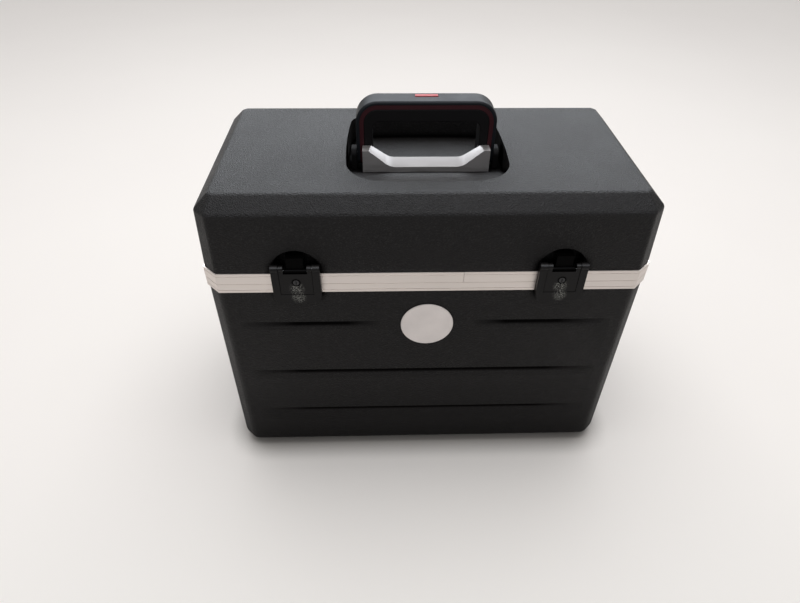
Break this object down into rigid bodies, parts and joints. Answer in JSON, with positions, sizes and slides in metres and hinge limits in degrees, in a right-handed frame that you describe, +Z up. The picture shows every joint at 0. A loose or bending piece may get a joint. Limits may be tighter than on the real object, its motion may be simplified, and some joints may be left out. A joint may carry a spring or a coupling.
{
  "type": "rolling tool case",
  "caption": "Black moulded tool case with an aluminium closing frame, key-lock latches, a folding carry handle, a telescoping trolley handle and rear wheels.",
  "frame": {"origin": "middle of the bounding box at floor level", "axes": "+X to the case's right seen from the latches, +Y to the back, +Z up"},
  "size_m": [0.4816, 0.2764, 0.4303],
  "materials": {
    "case_plastic": "fine leather grain, satin",
    "frame_aluminium": "satin anodised",
    "latch_plastic": "semi-gloss",
    "steel": "zinc plated",
    "black_steel": "black plated",
    "badge_plastic": "satin white",
    "foot_rubber": "matte",
    "trolley_plastic": "fine grain",
    "tyre_rubber": "matte",
    "hub_plastic": "satin",
    "seal_rubber": "matte",
    "handle_plastic": "satin",
    "inlay_plastic": "satin dark red",
    "grip_rubber": "soft matte",
    "insert_plastic": "satin red",
    "saddle_metal": "brushed silver",
    "lock_metal": "dark plated"
  },
  "bodies": {
    "base": {"base_shell": "case_plastic", "base_frame": "frame_aluminium", "base_rivets": "steel", "badge": "badge_plastic", "front_feet": "foot_rubber", "foot_screws": "steel", "wheel_housing_left": "trolley_plastic", "wheel_housing_right": "trolley_plastic", "axles": "steel", "hinge_base_leaves": "steel", "hinge_pins": "steel", "latch_housing_left": "latch_plastic", "latch_housing_right": "latch_plastic", "latch_bars": "steel", "latch_rivets": "steel", "trolley_foot": "trolley_plastic", "trolley_collar": "trolley_plastic", "trolley_outer_tubes": "frame_aluminium", "trolley_screws": "steel", "stay_studs": "steel"},
    "lid": {"lid_shell": "case_plastic", "lid_frame": "frame_aluminium", "lid_frame_splice": "frame_aluminium", "lid_seal": "seal_rubber", "lid_rivets": "steel", "hinge_lid_leaves": "steel", "strike_plates": "black_steel", "handle_saddle": "saddle_metal", "handle_ears": "latch_plastic", "handle_pins": "steel", "handle_backing_plate": "steel", "handle_screws": "steel", "stay_pivots": "steel"},
    "carry_handle": {"handle_cover": "handle_plastic", "handle_inlay": "inlay_plastic", "handle_grip": "grip_rubber", "handle_insert": "insert_plastic"},
    "wheel_left": {"wheel_hub_left": "hub_plastic", "tyre_left": "tyre_rubber"},
    "wheel_right": {"wheel_hub_right": "hub_plastic", "tyre_right": "tyre_rubber"},
    "trolley_stage_1": {"trolley_stage_1": "frame_aluminium"},
    "trolley_stage_2": {"trolley_stage_2": "frame_aluminium"},
    "trolley_stage_3": {"trolley_stage_3": "frame_aluminium", "trolley_grip": "trolley_plastic"},
    "release_button": {"release_button": "insert_plastic"},
    "stay_left": {"stay_arm_left": "steel"},
    "stay_right": {"stay_arm_right": "steel"},
    "latch_lever_left": {"latch_lever_left": "latch_plastic", "hook_pin_left": "steel", "lock_barrel_left": "lock_metal"},
    "latch_hook_left": {"latch_hook_left": "black_steel"},
    "lock_plug_left": {"lock_plug_left": "lock_metal"},
    "latch_lever_right": {"latch_lever_right": "latch_plastic", "hook_pin_right": "steel", "lock_barrel_right": "lock_metal"},
    "latch_hook_right": {"latch_hook_right": "black_steel"},
    "lock_plug_right": {"lock_plug_right": "lock_metal"}
  },
  "joints": [
    {"name": "lid_hinge", "type": "hinge", "parent": "base", "child": "lid", "pos_m": [0, 0.12375, 0.2804], "axis": [1, 0, 0], "range_deg": [-95, 0]},
    {"name": "handle_fold", "type": "hinge", "parent": "lid", "child": "carry_handle", "pos_m": [0, 0.00275, 0.366], "axis": [1, 0, 0], "range_deg": [-90, 0]},
    {"name": "trolley_slide_1", "type": "slide", "parent": "base", "child": "trolley_stage_1", "axis": [0, 0, 1], "range_m": [0, 0.174]},
    {"name": "trolley_slide_2", "type": "slide", "parent": "trolley_stage_1", "child": "trolley_stage_2", "axis": [0, 0, 1], "range_m": [0, 0.174]},
    {"name": "trolley_slide_3", "type": "slide", "parent": "trolley_stage_2", "child": "trolley_stage_3", "axis": [0, 0, 1], "range_m": [0, 0.174]},
    {"name": "button_press", "type": "slide", "parent": "trolley_stage_3", "child": "release_button", "axis": [0, 0, -1], "range_m": [0, 0.002], "stiffness_N_per_m": 300, "springref_m": -0.002},
    {"name": "wheel_spin_left", "type": "hinge", "parent": "base", "child": "wheel_left", "pos_m": [-0.206, 0.10325, 0.035], "axis": [1, 0, 0], "continuous": true},
    {"name": "latch_open_left", "type": "hinge", "parent": "base", "child": "latch_lever_left", "pos_m": [-0.1399, -0.13425, 0.304], "axis": [1, 0, 0], "range_deg": [-110, 0]},
    {"name": "hook_turn_left", "type": "hinge", "parent": "latch_lever_left", "child": "latch_hook_left", "pos_m": [-0.1399, -0.13395, 0.3007], "axis": [1, 0, 0], "range_deg": [0, 110]},
    {"name": "key_turn_left", "type": "hinge", "parent": "latch_lever_left", "child": "lock_plug_left", "pos_m": [-0.1399, -0.13525, 0.2873], "axis": [0, 1, 0], "range_deg": [0, 90]},
    {"name": "stay_swing_left", "type": "hinge", "parent": "lid", "child": "stay_left", "pos_m": [-0.2312, 0.01542, 0.2995], "axis": [1, 0, 0], "range_deg": [0, 47.5]},
    {"name": "wheel_spin_right", "type": "hinge", "parent": "base", "child": "wheel_right", "pos_m": [0.206, 0.10325, 0.035], "axis": [1, 0, 0], "continuous": true},
    {"name": "latch_open_right", "type": "hinge", "parent": "base", "child": "latch_lever_right", "pos_m": [0.1399, -0.13425, 0.304], "axis": [1, 0, 0], "range_deg": [-110, 0]},
    {"name": "hook_turn_right", "type": "hinge", "parent": "latch_lever_right", "child": "latch_hook_right", "pos_m": [0.1399, -0.13395, 0.3007], "axis": [1, 0, 0], "range_deg": [0, 110]},
    {"name": "key_turn_right", "type": "hinge", "parent": "latch_lever_right", "child": "lock_plug_right", "pos_m": [0.1399, -0.13525, 0.2873], "axis": [0, 1, 0], "range_deg": [0, 90]},
    {"name": "stay_swing_right", "type": "hinge", "parent": "lid", "child": "stay_right", "pos_m": [0.2312, 0.01542, 0.2995], "axis": [1, 0, 0], "range_deg": [0, 47.5]}
  ],
  "couplings": [
    {"joint": "hook_turn_left", "follows": "latch_open_left", "ratio": -1},
    {"joint": "stay_swing_left", "follows": "lid_hinge", "ratio": -0.5},
    {"joint": "hook_turn_right", "follows": "latch_open_right", "ratio": -1},
    {"joint": "stay_swing_right", "follows": "lid_hinge", "ratio": -0.5}
  ]
}
